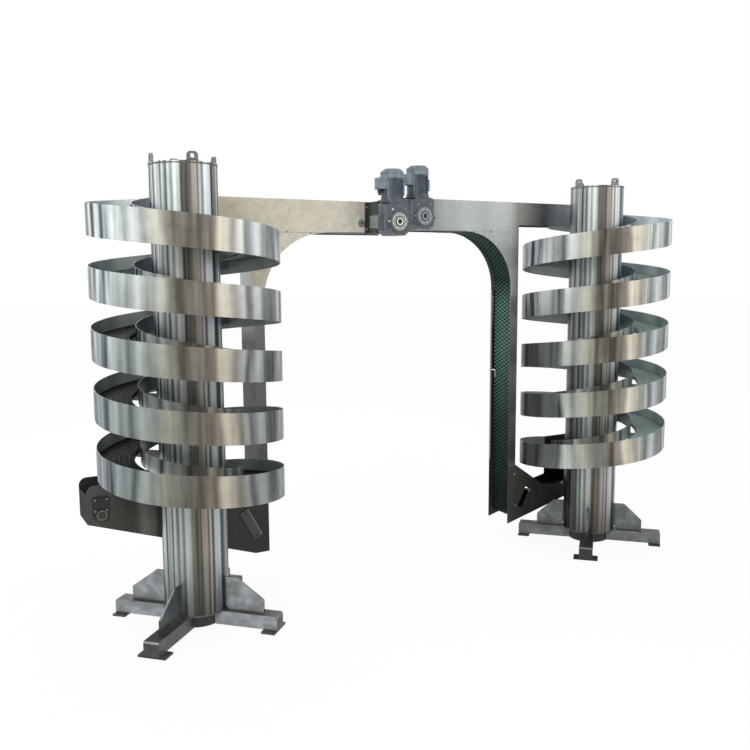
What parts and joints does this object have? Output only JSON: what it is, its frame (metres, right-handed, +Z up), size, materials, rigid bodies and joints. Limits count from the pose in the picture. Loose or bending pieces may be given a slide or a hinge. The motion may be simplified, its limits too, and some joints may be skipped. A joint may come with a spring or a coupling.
{
  "type": "twin-tower spiral conveyor",
  "caption": "Two column towers with helical guarded chain tracks, joined at the top by a straight bridge with return legs and two upright gear motors.",
  "frame": {"origin": "on the floor midway between the two column axes", "axes": "+X along the bridge towards the right tower, +Y towards the side of the bridge, +Z up"},
  "size_m": [3.612, 0.942, 2.37],
  "materials": {
    "stainless_sheet": "bright rolled stainless sheet with streaks",
    "column_steel": "brushed stainless tube",
    "frame_steel": "ground grey stainless, welded",
    "plate_steel": "satin stainless plate with a warm tint",
    "chain_green": "dark green moulded chain",
    "drive_paint": "slate blue-grey enamel",
    "machined_steel": "turned steel",
    "dark_bearing": "black bearing housing"
  },
  "bodies": {
    "root": {"base_gussets": "frame_steel", "base_hubs": "frame_steel", "base_legs": "frame_steel", "bridge_decks": "plate_steel", "bridge_idler_bearings": "machined_steel", "bridge_plates_left": "plate_steel", "bridge_plates_right": "plate_steel", "chain_return_left": "chain_green", "chain_return_right": "chain_green", "chain_spiral_left": "chain_green", "chain_spiral_right": "chain_green", "column_caps": "column_steel", "column_left": "column_steel", "column_right": "column_steel", "drive_bracket": "frame_steel", "end_decks": "plate_steel", "end_plates": "plate_steel", "fan_cowls": "drive_paint", "foot_plates": "frame_steel", "gearboxes": "drive_paint", "inner_guard_left_1": "stainless_sheet", "inner_guard_left_2": "stainless_sheet", "inner_guard_left_3": "stainless_sheet", "inner_guard_left_4": "stainless_sheet", "inner_guard_right_1": "stainless_sheet", "inner_guard_right_2": "stainless_sheet", "inner_guard_right_3": "stainless_sheet", "inner_guard_right_4": "stainless_sheet", "leg_plates": "plate_steel", "leg_webs": "plate_steel", "lifting_lugs": "frame_steel", "lower_plates_left": "plate_steel", "lower_plates_right": "plate_steel", "motor_housings": "drive_paint", "motor_mounts": "drive_paint", "outer_guard_left_1": "stainless_sheet", "outer_guard_left_2": "stainless_sheet", "outer_guard_left_3": "stainless_sheet", "outer_guard_left_4": "stainless_sheet", "outer_guard_left_5": "stainless_sheet", "outer_guard_right_1": "stainless_sheet", "outer_guard_right_2": "stainless_sheet", "outer_guard_right_3": "stainless_sheet", "outer_guard_right_4": "stainless_sheet", "outer_guard_right_5": "stainless_sheet", "output_flanges": "machined_steel", "slot_cover_bar": "plate_steel", "sprockets": "machined_steel", "support_arms_left": "frame_steel", "support_arms_right": "frame_steel", "tail_bearing_blocks": "dark_bearing", "tail_bearing_bosses": "machined_steel", "tension_shaft": "machined_steel", "terminal_boxes": "drive_paint", "track_deck_left_lower": "stainless_sheet", "track_deck_left_upper": "stainless_sheet", "track_deck_right_lower": "stainless_sheet", "track_deck_right_upper": "stainless_sheet"}
  },
  "joints": []
}
